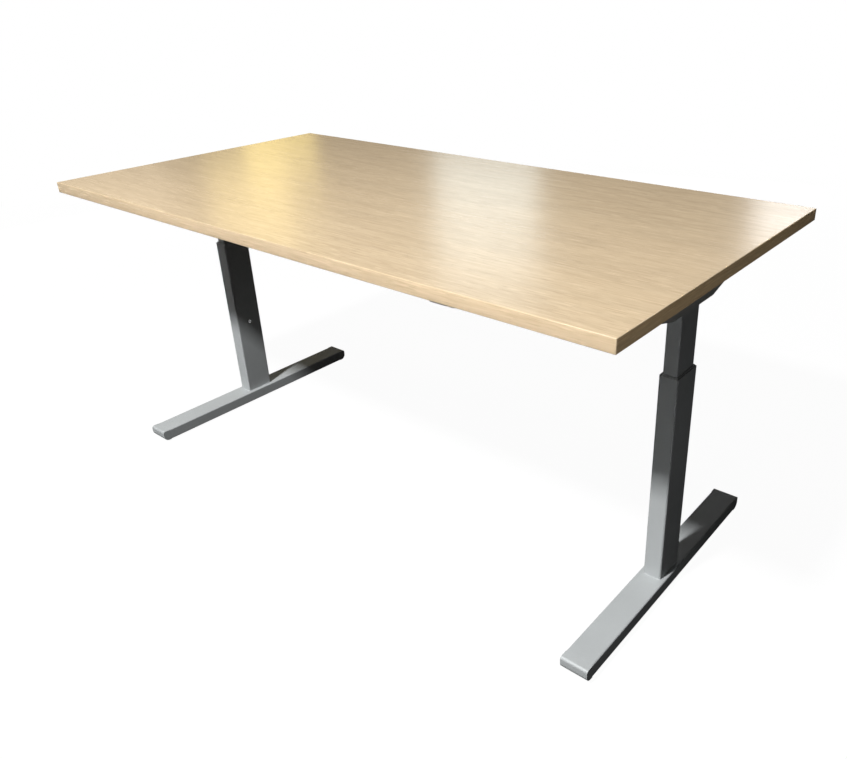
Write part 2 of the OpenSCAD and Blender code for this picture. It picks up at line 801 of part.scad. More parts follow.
// Route of the hand switch's lead, under the front rail and along the top to the control box
function handset_route() = [
    [handset_x, handset_y + handset_d - 6, lead_z], [handset_x, -120, lead_z], [handset_x, -104, under_rail],
    [handset_x, -46, under_rail], [handset_x, -30, lead_z], [handset_x, -6, lead_z],
    [handset_x - 20, 0, lead_z], [160, 0, lead_z], [140, 0, plug_z], [plug_end, 0, plug_z]
];

module control_leads() {
    color(dark) {
        swept(rounded(motor_route(1), 9), lead_r, [0, 1, 0]);
        swept(rounded(motor_route(-1), 9), lead_r, [0, 1, 0]);
        swept(rounded(handset_route(), 7), handset_lead_r, [1, 0, 0]);
        for (y = socket_ys)
            block([box_l / 2 - plug_in, y - socket_w / 2, socket_z],
                  [box_l / 2 + plug_out, y + socket_w / 2, socket_z + socket_h]);
    }
}

// Saddle clip on a lead of radius r that runs through x and y, at an angle of turn to the X axis
module clip(x, y, r, turn = 0) {
    half = r + rest_gap;
    wide = r + clip_ear;
    translate([x, y, lead_z]) rotate(turn) difference() {
        block([-clip_l / 2, -wide, -half - clip_t], [clip_l / 2, wide, lead_drop]);
        block([-clip_l / 2 - eps, -half, -half], [clip_l / 2 + eps, half, lead_drop + eps]);
    }
}

module cable_clips() {
    color(bright) {
        for (x = [-520, -400, -290, 290, 400, 520]) clip(x, worm_y, lead_r);
        for (x = [-140, 132]) clip(x, -54, lead_r);
        for (x = [220, 360]) clip(x, 0, handset_lead_r);
        for (y = [-250, -160]) clip(handset_x, y, handset_lead_r, 90);
    }
}

// ---- Nodes ----

side(false) foot();  // left_foot
side(false) foot_caps();  // left_foot_caps
side(false) outer_column();  // left_outer_column
side(false) lower_collar();  // left_lower_collar
side(false) riser_tube();  // left_riser_tube
side(false) lower_nut();  // left_lower_nut
side(false) base_screws();  // left_base_screws
side(false) glide(-glide_y);  // left_front_glide
side(false) glide(glide_y);  // left_rear_glide
side(false) middle_column();  // left_middle_column
side(false) upper_collar();  // left_upper_collar
side(false) middle_pads();  // left_middle_pads
side(false) push_tube();  // left_push_tube
side(false) hollow_spindle();  // left_hollow_spindle
side(false) spindle();  // left_spindle
side(false) worm_wheel();  // left_worm_wheel
side(false) worm_shaft();  // left_worm_shaft
side(false) thrust_bearing();  // left_thrust_bearing
side(false) inner_column();  // left_inner_column
side(false) inner_pads();  // left_inner_pads
side(false) gearbox();  // left_gearbox
side(false) motor();  // left_motor
side(false) side_bracket();  // left_side_bracket
side(true) foot();  // right_foot
side(true) foot_caps();  // right_foot_caps
side(true) outer_column();  // right_outer_column
side(true) lower_collar();  // right_lower_collar
side(true) riser_tube();  // right_riser_tube
side(true) lower_nut();  // right_lower_nut
side(true) base_screws();  // right_base_screws
side(true) glide(-glide_y);  // right_front_glide
side(true) glide(glide_y);  // right_rear_glide
side(true) middle_column();  // right_middle_column
side(true) upper_collar();  // right_upper_collar
side(true) middle_pads();  // right_middle_pads
side(true) push_tube();  // right_push_tube
side(true) hollow_spindle();  // right_hollow_spindle
side(true) spindle();  // right_spindle
side(true) worm_wheel();  // right_worm_wheel
side(true) worm_shaft();  // right_worm_shaft
side(true) thrust_bearing();  // right_thrust_bearing
side(true) inner_column();  // right_inner_column
side(true) inner_pads();  // right_inner_pads
side(true) gearbox();  // right_gearbox
side(true) motor();  // right_motor
side(true) side_bracket();  // right_side_bracket
tabletop_board();
edge_bands();
crossbeam_rails();
frame_bolts();
tabletop_screws();
control_box();
control_box_lid();
control_board();
mains_inlet();
handset_housing();
button(-1);  // up_button
button(1);  // down_button
control_leads();
cable_clips();
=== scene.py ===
import json
import math
import random

import bmesh
import bpy
from mathutils import Matrix, Vector


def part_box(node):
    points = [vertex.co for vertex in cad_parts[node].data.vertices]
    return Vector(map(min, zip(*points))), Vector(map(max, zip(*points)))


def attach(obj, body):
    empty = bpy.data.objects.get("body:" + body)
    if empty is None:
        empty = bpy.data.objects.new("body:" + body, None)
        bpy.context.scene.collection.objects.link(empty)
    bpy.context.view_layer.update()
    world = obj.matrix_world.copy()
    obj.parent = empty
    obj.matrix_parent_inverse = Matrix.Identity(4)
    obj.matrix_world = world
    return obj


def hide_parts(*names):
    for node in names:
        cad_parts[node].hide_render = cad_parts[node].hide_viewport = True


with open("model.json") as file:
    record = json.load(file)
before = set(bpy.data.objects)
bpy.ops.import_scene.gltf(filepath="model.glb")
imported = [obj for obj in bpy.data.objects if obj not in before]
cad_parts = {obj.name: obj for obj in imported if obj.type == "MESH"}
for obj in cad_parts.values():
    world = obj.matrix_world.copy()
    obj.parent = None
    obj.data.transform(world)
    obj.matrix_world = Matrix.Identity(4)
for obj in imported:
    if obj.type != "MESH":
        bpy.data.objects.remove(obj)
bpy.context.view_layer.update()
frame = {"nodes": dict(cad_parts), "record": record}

NODES = frame["nodes"]
SIDES = ("left", "right")
SLOT_OF = {part["node"]: part["material_slot"] for part in frame["record"]["subparts"]}
BODY_OF = {node: body for body, nodes in frame["record"]["behaviour"]["bodies"].items() for node in nodes}
MM = 0.001


# ---- Material graphs ----

class Graph:
    """A material's node tree, with short names for the nodes that the looks below use."""

    def __init__(self, name, rough, metal=0.0, **sockets):
        self.material = bpy.data.materials.new(name)
        self.material.use_nodes = True
        self.tree = self.material.node_tree
        self.shader = self.tree.nodes["Principled BSDF"]
        self.set("Roughness", rough)
        self.set("Metallic", metal)
        for socket, value in sockets.items():
            self.set(socket.replace("_", " "), value)
        self.place = self.add("ShaderNodeTexCoord").outputs["Object"]

    def set(self, socket, value):
        self.shader.inputs[socket].default_value = value

    def add(self, kind, **settings):
        node = self.tree.nodes.new(kind)
        for name, value in settings.items():
            setattr(node, name, value)
        return node

    def link(self, source, target):
        self.tree.links.new(source, target)

    def feed(self, socket, source):
        self.link(source, self.shader.inputs[socket])

    def scaled(self, scale, shift=(0, 0, 0), source=None):
        """The place in metres times scale, so that scale is the number of features in a metre."""
        node = self.add("ShaderNodeMapping")
        self.link(source or self.place, node.inputs["Vector"])
        node.inputs["Scale"].default_value = scale
        node.inputs["Location"].default_value = shift
        return node.outputs["Vector"]

    def noise(self, scale, detail, shift=(0, 0, 0), rough=0.5, distortion=0.0, source=None):
        node = self.add("ShaderNodeTexNoise")
        self.link(self.scaled(scale, shift, source), node.inputs["Vector"])
        node.inputs["Scale"].default_value = 1.0
        node.inputs["Detail"].default_value = detail
        node.inputs["Roughness"].default_value = rough
        node.inputs["Distortion"].default_value = distortion
        return node.outputs["Fac"]

    def cells(self, scale, feature="F1"):
        node = self.add("ShaderNodeTexVoronoi", feature=feature)
        self.link(self.scaled(scale), node.inputs["Vector"])
        node.inputs["Scale"].default_value = 1.0
        return node.outputs["Distance"]

    def ramp(self, value, *stops):
        """Colours or greys at places from 0 to 1, with smooth steps between."""
        node = self.add("ShaderNodeValToRGB")
        elements = node.color_ramp.elements
        while len(elements) < len(stops):
            elements.new(1.0)
        for element, (place, colour) in zip(elements, stops):
            element.position = place
            element.color = (colour,) * 3 + (1.0,) if isinstance(colour, (int, float)) else (*colour, 1.0)
        self.link(value, node.inputs["Fac"])
        return node.outputs["Color"]

    def mix(self, share, a, b, blend="MIX"):
        node = self.add("ShaderNodeMix", data_type="RGBA", blend_type=blend, clamp_result=True)
        for socket, value in ((node.inputs[0], share), (node.inputs[6], a), (node.inputs[7], b)):
            if isinstance(value, bpy.types.NodeSocket):
                self.link(value, socket)
            elif isinstance(value, (int, float)):
                socket.default_value = value
            else:
                socket.default_value = (*value, 1.0)
        return node.outputs[2]

    def maths(self, operation, a, b=0.0):
        node = self.add("ShaderNodeMath", operation=operation)
        for socket, value in zip(node.inputs, (a, b)):
            if isinstance(value, bpy.types.NodeSocket):
                self.link(value, socket)
            else:
                socket.default_value = value
        return node.outputs[0]

    def span(self, value, low, high):
        """value from 0 to 1 turned into low to high."""
        node = self.add("ShaderNodeMapRange")
        self.link(value, node.inputs["Value"])
        node.inputs["To Min"].default_value = low
        node.inputs["To Max"].default_value = high
        return node.outputs["Result"]

    def bump(self, height, depth, strength, over=None):
        node = self.add("ShaderNodeBump")
        self.link(height, node.inputs["Height"])
        node.inputs["Distance"].default_value = depth
        node.inputs["Strength"].default_value = strength
        if over is not None:
            self.link(over, node.inputs["Normal"])
        return node.outputs["Normal"]


def oak(name, along, pale, honey, dark):
    """Light oak laminate. along is the axis of the grain, "x" or "y"."""
    g = Graph(name, rough=0.3, Coat_Weight=0.35, Coat_Roughness=0.24, Specular_IOR_Level=0.5)

    def grain(length, width):
        """Features in a metre along the grain and across it."""
        return (length, width, width) if along == "x" else (width, length, width)

    drift = g.add("ShaderNodeTexNoise")
    g.link(g.scaled(grain(0.8, 2.4)), drift.inputs["Vector"])
    drift.inputs["Scale"].default_value = 1.0
    wander = g.add("ShaderNodeVectorMath", operation="SCALE")
    g.link(drift.outputs["Color"], wander.inputs[0])
    wander.inputs["Scale"].default_value = 0.034
    bent = g.add("ShaderNodeVectorMath", operation="ADD")
    g.link(g.place, bent.inputs[0])
    g.link(wander.outputs[0], bent.inputs[1])
    place = bent.outputs[0]

    figure = g.noise(grain(0.5, 5.0), detail=1.5, rough=0.35, source=place)
    rings = g.ramp(g.maths("FRACT", g.maths("MULTIPLY", figure, 15.0)),
                   (0.0, 0.62), (0.55, 1.0), (0.9, 0.80), (1.0, 0.60))
    bands = g.noise(grain(0.8, 13), shift=(4.4, 2.9, 1.0), detail=2.0)
    streaks = g.noise(grain(7.0, 175), detail=4.0, rough=0.62, source=place)
    dashes = g.noise(grain(16, 300), shift=(1.3, 8.1, 4.2), detail=2.0, rough=0.55, source=place)
    flecks = g.noise(grain(22, 260), shift=(6.3, 2.1, 9.2), detail=1.0, source=place)
    fibres = g.noise(grain(14, 640), shift=(3.1, 1.7, 0.4), detail=3.0, rough=0.6, source=place)
    pores = g.noise(grain(30, 1150), shift=(7.3, 5.1, 2.2), detail=1.0, source=place)

    between = tuple(0.5 * (p + h) for p, h in zip(pale, honey))
    lightest = tuple(min(1.0, 1.22 * p) for p in pale)
    darkest = tuple(0.62 * d for d in dark)
    colour = g.mix(g.ramp(streaks, (0.28, 0.0), (0.72, 1.0)), honey, pale)
    colour = g.mix(g.ramp(bands, (0.36, 0.0), (0.66, 0.55)), colour, between)
    colour = g.mix(0.22, colour, rings, "MULTIPLY")
    colour = g.mix(g.ramp(dashes, (0.53, 0.0), (0.68, 0.34)), colour, dark)
    colour = g.mix(g.ramp(flecks, (0.56, 0.0), (0.72, 0.36)), colour, lightest)
    colour = g.mix(g.ramp(fibres, (0.35, 0.30), (0.62, 0.0)), colour, honey)
    colour = g.mix(g.ramp(pores, (0.655, 0.0), (0.72, 0.40)), colour, darkest)
    g.feed("Base Color", colour)
    unevenness = g.maths("ADD", g.maths("MULTIPLY", fibres, 0.6), g.maths("MULTIPLY", bands, 0.4))
    g.feed("Roughness", g.span(unevenness, 0.20, 0.32))
    relief = g.maths("SUBTRACT", fibres, g.maths("MULTIPLY", g.ramp(pores, (0.64, 0.0), (0.72, 1.0)), 1.2))
    g.feed("Normal", g.bump(relief, 0.00006, 0.5))
    return g.material


def powder_coat(name, colour, metal, rough, wear=0.0):
    """Satin powder coat with fine flakes and orange peel, and scuffs where it is kicked and rubbed."""
    g = Graph(name, rough=rough, metal=metal, Specular_IOR_Level=0.35)
    flakes = g.noise((2600, 2600, 2600), detail=1.0)
    cloud = g.noise((9, 9, 9), detail=3.0)
    peel = g.noise((420, 420, 420), detail=2.0, rough=0.4)
    light = tuple(min(1.0, c * 1.16) for c in colour)
    dim = tuple(c * 0.84 for c in colour)
    shade = g.mix(g.ramp(flakes, (0.36, 0.0), (0.64, 1.0)), dim, light)
    shade = g.mix(g.ramp(cloud, (0.35, 0.16), (0.65, 0.0)), shade, tuple(c * 0.72 for c in colour))
    roughness = g.span(cloud, rough - 0.06, rough + 0.08)
    if wear:
        scratches = g.noise((55, 900, 55), detail=2.0, rough=0.7)
        marks = g.noise((14, 5, 14), shift=(2.0, 6.0, 1.0), detail=2.0)
        lines = g.ramp(scratches, (0.60, 0.0), (0.70, 1.0))
        patches = g.ramp(marks, (0.52, 0.0), (0.66, wear))
        worn = g.maths("MULTIPLY", lines, patches)
        shade = g.mix(worn, shade, tuple(c * 0.45 for c in colour))
    g.feed("Base Color", shade)
    g.feed("Roughness", roughness)
    fine = g.bump(flakes, 0.00002, 0.35)
    g.feed("Normal", g.bump(peel, 0.00008, 0.30, over=fine))
    return g.material


def moulded(name, colour, rough, grain=0.5):
    """Moulded plastic with a spark-eroded texture and a little dust."""
    g = Graph(name, rough=rough)
    spark = g.cells((2400, 2400, 2400))
    cloud = g.noise((30, 30, 30), detail=4.0)
    dust = g.noise((160, 160, 160), shift=(4.0, 1.0, 2.0), detail=5.0, rough=0.7)
    light = tuple(min(1.0, c * 1.25 + 0.004) for c in colour)
    shade = g.mix(g.ramp(cloud, (0.3, 0.0), (0.7, 1.0)), colour, light)
    shade = g.mix(g.ramp(dust, (0.60, 0.0), (0.80, 0.16)), shade, (0.42, 0.40, 0.37))
    g.feed("Base Color", shade)
    g.feed("Roughness", g.span(cloud, rough - 0.07, rough + 0.09))
    g.feed("Normal", g.bump(spark, 0.00005, grain))
    return g.material


def bare_metal(name, colour, rough, coarse=1.0):
    """Machined, drawn or plated metal with upright brush lines."""
    g = Graph(name, rough=rough, metal=1.0)
    brush = g.noise((900 * coarse, 900 * coarse, 12 * coarse), detail=3.0, rough=0.6)
    cloud = g.noise((24, 24, 24), detail=4.0, rough=0.6)
    dim = tuple(c * 0.72 for c in colour)
    shade = g.mix(g.ramp(brush, (0.3, 0.0), (0.7, 1.0)), dim, colour)
    shade = g.mix(g.ramp(cloud, (0.50, 0.0), (0.78, 0.35)), shade, tuple(c * 0.55 for c in colour))
    g.feed("Base Color", shade)
    unevenness = g.maths("ADD", g.maths("MULTIPLY", brush, 0.5), g.maths("MULTIPLY", cloud, 0.5))
    g.feed("Roughness", g.span(unevenness, rough - 0.08, rough + 0.14))
    g.feed("Normal", g.bump(brush, 0.00003, 0.4))
    return g.material


def cast(name, colour):
    """Die-cast housing: a sandy skin with flow marks."""
    g = Graph(name, rough=0.5, metal=0.85)
    sand = g.noise((1300, 1300, 1300), detail=3.0)
    flow = g.noise((26, 60, 26), detail=4.0, rough=0.65, distortion=0.8)
    shade = g.mix(g.ramp(sand, (0.3, 0.0), (0.7, 1.0)), tuple(c * 0.75 for c in colour), colour)
    shade = g.mix(g.ramp(flow, (0.45, 0.0), (0.75, 0.4)), shade, tuple(c * 0.55 for c in colour))
    g.feed("Base Color", shade)
    g.feed("Roughness", g.span(flow, 0.40, 0.62))
    g.feed("Normal", g.bump(sand, 0.0001, 0.5))
    return g.material


def board_green(name):
    """Solder mask with copper tracks showing through."""
    g = Graph(name, rough=0.35, Coat_Weight=0.4, Coat_Roughness=0.15)
    tracks = g.cells((140, 140, 1), feature="DISTANCE_TO_EDGE")
    cloud = g.noise((40, 40, 40), detail=3.0)
    shade = g.mix(g.ramp(tracks, (0.06, 1.0), (0.10, 0.0)), (0.012, 0.115, 0.045), (0.03, 0.24, 0.09))
    shade = g.mix(g.ramp(cloud, (0.4, 0.0), (0.7, 0.3)), shade, (0.008, 0.06, 0.02))
    g.feed("Base Color", shade)
    g.feed("Roughness", g.span(cloud, 0.28, 0.45))
    g.feed("Normal", g.bump(tracks, 0.00004, 0.4))
    return g.material


PALE_OAK = (0.675, 0.535, 0.360)
HONEY_OAK = (0.550, 0.422, 0.272)
DARK_OAK = (0.385, 0.280, 0.170)
# The end bands' oak is a lighter copy of the top's oak. This is painted light: it makes the end edges, which
# stand in shade, read brighter.
PALE_END_OAK_PAINTED_LIGHTER = (0.740, 0.600, 0.410)
HONEY_END_OAK_PAINTED_LIGHTER = (0.600, 0.470, 0.300)

MATERIALS = {
    "silver_paint": powder_coat("silver powder coat", (0.465, 0.486, 0.490), 0.12, 0.56, wear=0.4),
    "oak_laminate": oak("oak laminate", "x", PALE_OAK, HONEY_OAK, DARK_OAK),
    "oak_edge": oak("oak edge along x", "x", PALE_OAK, HONEY_OAK, DARK_OAK),
    "black_plastic": moulded("black plastic", (0.020, 0.020, 0.022), 0.52),
    "collar_grey": moulded("collar plastic", (0.400, 0.412, 0.414), 0.50, grain=0.3),
    "handset_grey": moulded("hand switch plastic", (0.680, 0.640, 0.570), 0.48, grain=0.4),
    "button_black": moulded("button rubber", (0.030, 0.030, 0.032), 0.58, grain=0.3),
    "zinc_steel": bare_metal("zinc plated steel", (0.80, 0.81, 0.82), 0.38),
    "bright_steel": bare_metal("rolled steel", (0.52, 0.53, 0.54), 0.26, coarse=1.4),
    "bronze": bare_metal("bronze", (0.60, 0.40, 0.17), 0.30),
    "natural_nylon": moulded("natural nylon", (0.68, 0.65, 0.56), 0.42, grain=0.2),
    "cast_housing": cast("die-cast housing", (0.26, 0.27, 0.28)),
    "motor_can": powder_coat("black enamel", (0.022, 0.022, 0.024), 0.0, 0.33),
    "circuit_board": board_green("circuit board"),
    "lead_black": moulded("lead sheath", (0.016, 0.016, 0.017), 0.46, grain=0.25),
    "clip_white": moulded("clip nylon", (0.62, 0.62, 0.60), 0.45, grain=0.2),
}
# Oak for the end bands, with the grain along y, in the lighter end colours that are painted light.
OAK_END_PAINTED_LIGHTER = oak("oak edge along y painted lighter", "y", PALE_END_OAK_PAINTED_LIGHTER, HONEY_END_OAK_PAINTED_LIGHTER, DARK_OAK)


# ---- Pieces ----

FLAT = 0.6           # degrees: faces that differ by less are one flat face
ROUND_FACET = 32     # degrees: faces that differ by less belong to one round surface
WELD_FACET = 60      # degrees: the same, on a weld bead's coarse section
SHARP_CORNER = 40    # degrees: faces that differ by more meet at an edge that gets broken
WELDED = 1e-6        # metres: vertices closer than this are one
CORNER_STEPS = 6     # facets in a rounded corner
BEND_STEPS = 8       # facets in a lead's bend


def new_piece(name, bm, body, slot, replaced=()):
    """An object from bm that rides on a body, and takes its finish from a slot of the record."""
    mesh = bpy.data.meshes.new(name)
    bm.to_mesh(mesh)
    bm.free()
    piece = bpy.data.objects.new(name, mesh)
    bpy.context.scene.collection.objects.link(piece)
    mesh.materials.append(MATERIALS[slot])
    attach(piece, body)
    if replaced:
        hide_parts(*replaced)
    return piece


def smooth_by_angle(bm, degrees=ROUND_FACET):
    """Round surfaces shade smooth, and real corners stay crisp."""
    bm.normal_update()
    for face in bm.faces:
        face.smooth = True
    for edge in bm.edges:
        edge.smooth = edge.is_manifold and edge.calc_face_angle(0.0) < math.radians(degrees)


def keep_flats_flat(piece):
    """Shading follows the large flat faces, so that a broken edge doesn't tint them."""
    modifier = piece.modifiers.new("flat faces", "WEIGHTED_NORMAL")
    modifier.keep_sharp = True
    modifier.weight = 100


def solid_of(node):
    """A welded copy of a CAD node's mesh, with each flat face in one piece."""
    source = NODES[node].data
    bm = bmesh.new()
    corners = [bm.verts.new(v.co) for v in source.vertices]
    for polygon in source.polygons:
        try:
            bm.faces.new([corners[i] for i in polygon.vertices])
        except ValueError:
            continue    # the same face a second time
    bmesh.ops.remove_doubles(bm, verts=bm.verts, dist=WELDED)
    bmesh.ops.dissolve_limit(bm, angle_limit=math.radians(FLAT), verts=bm.verts, edges=bm.edges)
    bm.normal_update()
    return bm


def round_edges(bm, width):
    """Breaks the sharp edges of a solid, and leaves the facets of its round faces alone."""
    edges = [e for e in bm.edges if e.is_manifold and e.calc_face_angle(0.0) > math.radians(SHARP_CORNER)]
    bmesh.ops.bevel(bm, geom=edges, offset=width, segments=2, profile=0.5, affect="EDGES",
                    clamp_overlap=True)


def softened(node, width):
    """The CAD node's own shape with its sharp edges broken, standing for that node."""
    bm = solid_of(node)
    round_edges(bm, width)
    smooth_by_angle(bm)
    piece = new_piece(node + "_finished", bm, BODY_OF[node], SLOT_OF[node], [node])
    keep_flats_flat(piece)


def rounded_rectangle(width, depth, radius):
    """Corner points of a rectangle with round corners, anticlockwise and centred."""
    points = []
    for turn, (sx, sy) in enumerate(((1, 1), (-1, 1), (-1, -1), (1, -1))):
        for k in range(CORNER_STEPS + 1):
            angle = math.radians(90 * turn + 90 * k / CORNER_STEPS)
            points.append((sx * (width / 2 - radius) + radius * math.cos(angle),
                           sy * (depth / 2 - radius) + radius * math.sin(angle)))
    return points


def circle(centre, radius, across, other, sides):
    """Points round centre, in the plane of two unit vectors."""
    angles = [2 * math.pi * k / sides for k in range(sides)]
    return [centre + radius * (math.cos(a) * across + math.sin(a) * other) for a in angles]


def ring_of(bm, loops):
    """Closes rows of vertices, each a closed loop of the same length, into a skin."""
    rows = [[bm.verts.new(p) for p in loop] for loop in loops]
    count = len(rows[0])
    for a, b in zip(rows, rows[1:]):
        for k in range(count):
            bm.faces.new((a[k], a[(k + 1) % count], b[(k + 1) % count], b[k]))
    return rows


def edge_band():
    """The glued band round the board, with its arrises scraped round."""
    low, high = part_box("edge_bands")
    board_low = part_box("tabletop_board")[0]
    arris, glue = 1.4 * MM, 0.15 * MM
    bottom, top = low.z, high.z
    inset = board_low.x - low.x
    steps = 4
    section = [(inset, bottom + glue)]
    for k in range(steps + 1):
        angle = math.radians(90 * k / steps)
        section.append((arris - arris * math.sin(angle), bottom + arris - arris * math.cos(angle)))
    for k in range(steps + 1):
        angle = math.radians(90 * k / steps)
        section.append((arris - arris * math.cos(angle), top - arris + arris * math.sin(angle)))
    section.append((inset, top - glue))
    section.append((inset, bottom + glue))
    bm = bmesh.new()
    corner = 2.2 * MM
    loops = []
    for inwards, z in section:
        outline = rounded_rectangle(high.x - low.x - 2 * inwards, high.y - low.y - 2 * inwards,
                                    max(corner - inwards, 0.05 * MM))
        loops.append([(x, y, z) for x, y in outline])
    ring_of(bm, loops)
    bmesh.ops.remove_doubles(bm, verts=bm.verts, dist=0.1 * WELDED)
    bmesh.ops.recalc_face_normals(bm, faces=bm.faces)
    smooth_by_angle(bm)
    # End faces take the second material, the end oak painted lighter than the rest as painted light on the
    # shaded end edges.
    for face in bm.faces:
        middle = face.calc_center_median()
        face.material_index = int(high.x - abs(middle.x) < high.y - abs(middle.y))
    piece = new_piece("edge_band", bm, BODY_OF["edge_bands"], "oak_edge", ["edge_bands"])
    piece.data.materials.append(OAK_END_PAINTED_LIGHTER)


def weld_bead(side):
    """The painted fillet weld where the column stands on the foot."""
    low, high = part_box(side + "_outer_column")
    centre = (low + high) / 2
    sides, radius, stride = 8, 1.0 * MM, 1.1 * MM
    stand_off, corner = 0.2 * MM, 4.5 * MM
    upwards = Vector((0, 0, 1))
    outline = rounded_rectangle(high.x - low.x + 2 * stand_off, high.y - low.y + 2 * stand_off, corner)
    points = []
    for (ax, ay), (bx, by) in zip(outline, outline[1:] + outline[:1]):
        length = math.hypot(bx - ax, by - ay)
        count = max(1, round(length / stride))
        points += [(ax + (bx - ax) * k / count, ay + (by - ay) * k / count) for k in range(count)]
    rng = random.Random(side)
    ripples = [rng.uniform(-0.12, 0.12) for _ in range(40)]
    bm = bmesh.new()
    rows = []
    total = len(points)
    for i, (x, y) in enumerate(points):
        px, py = points[i - 1]
        nx, ny = points[(i + 1) % total]
        tangent = Vector((nx - px, ny - py, 0)).normalized()
        outwards = Vector((tangent.y, -tangent.x, 0))
        phase = (i % 3) / 3.0
        swell = radius * (1.0 + 0.10 * (phase - 0.5) + ripples[(i // 9) % len(ripples)])
        rows.append(circle(Vector((centre.x + x, centre.y + y, low.z)), swell, outwards, upwards, sides))
    ring_of(bm, rows + [rows[0]])
    bmesh.ops.remove_doubles(bm, verts=bm.verts, dist=0.1 * WELDED)
    bmesh.ops.recalc_face_normals(bm, faces=bm.faces)
    smooth_by_angle(bm, WELD_FACET)
    new_piece(side + "_column_weld", bm, BODY_OF[side + "_foot"], "silver_paint")


def lathe(bm, points, radii, sides=20):
    """A round skin along points, with its own radius at each, closed at both ends.

    Where the points turn back on themselves, as in a screw's recess, the rings keep facing the same way.
    """
    count = len(points)
    across = before = None
    rows = []
    for i, point in enumerate(points):
        ahead = (points[min(i + 1, count - 1)] - points[max(i - 1, 0)]).normalized()
        if across is None:
            across = ahead.orthogonal()
        elif ahead.dot(before) < 0:
            ahead.negate()
        before = ahead
        across = (across - ahead * across.dot(ahead)).normalized()
        other = ahead.cross(across)
        rows.append(circle(point, radii[i], across, other, sides))
    made = ring_of(bm, rows)
    bm.faces.new(list(reversed(made[0])))
    bm.faces.new(made[-1])


def block(bm, low, high, edge):
    """A box with its edges broken, listed in a fixed order so that each run makes the same mesh."""
    made = bmesh.ops.create_cube(bm, size=1.0)
    size = [b - a for a, b in zip(low, high)]
    middle = [(a + b) / 2 for a, b in zip(low, high)]
    bmesh.ops.scale(bm, vec=size, verts=made["verts"])
    bmesh.ops.translate(bm, vec=middle, verts=made["verts"])
    edges = list(dict.fromkeys(e for v in made["verts"] for e in v.link_edges))
    bmesh.ops.bevel(bm, geom=edges, offset=edge, segments=2, profile=0.5, affect="EDGES")


def rounded_path(corners, radius):
    """Corner points joined by straight lines, with a smooth bend at each corner."""
    path = [Vector(corners[0])]
    for before, corner, after in zip(corners, corners[1:], corners[2:]):
        corner = Vector(corner)
        back = Vector(before) - corner
        on = Vector(after) - corner
        reach = min(radius, 0.45 * back.length, 0.45 * on.length)
        start = corner + back.normalized() * reach
        end = corner + on.normalized() * reach
        for k in range(BEND_STEPS + 1):
            t = k / BEND_STEPS
            path.append(start * (1 - t) ** 2 + corner * 2 * t * (1 - t) + end * t ** 2)
    path.append(Vector(corners[-1]))
    return path


def lead(name, corners, radius, bend):
    """A held lead, as one round skin along its whole route."""
    path = rounded_path(corners, bend)
    bm = bmesh.new()
    lathe(bm, path, [radius] * len(path), sides=16)
    smooth_by_angle(bm)
    new_piece(name, bm, "desk_top", "lead_black", ["control_leads"])


def boot(bm, start, direction, length, wide, slim, ribs=5):
    """A tapered strain relief with ribs, from start along direction."""
    points, radii = [start - direction * 1.5 * MM, start], [wide, wide]
    for k in range(ribs):
        place = (k + 0.5) / ribs
        radius = wide + (slim - wide) * place
        for shift, share in ((-0.30, 1.0), (-0.18, 0.84), (0.18, 0.84), (0.30, 1.0)):
            points.append(start + direction * length * (place + shift / ribs))
            radii.append(radius * share)
    points.append(start + direction * length)
    radii.append(slim)
    lathe(bm, points, radii)


def plug(bm, back, front, y, z):
    """A plug body with three grip ribs on its sides, between two places along x."""
    half_width, half_height = 6 * MM, 5 * MM
    rib, rib_height = 0.5 * MM, 3.5 * MM
    first_rib, pitch = back + 8.4 * MM, 2.2 * MM
    block(bm, (back, y - half_width, z - half_height), (front, y + half_width, z + half_height), 0.8 * MM)
    for k in range(3):
        x = first_rib + k * pitch
        reach = half_width + rib
        block(bm, (x - rib, y - reach, z - rib_height), (x + rib, y + reach, z + rib_height), 0.2 * MM)


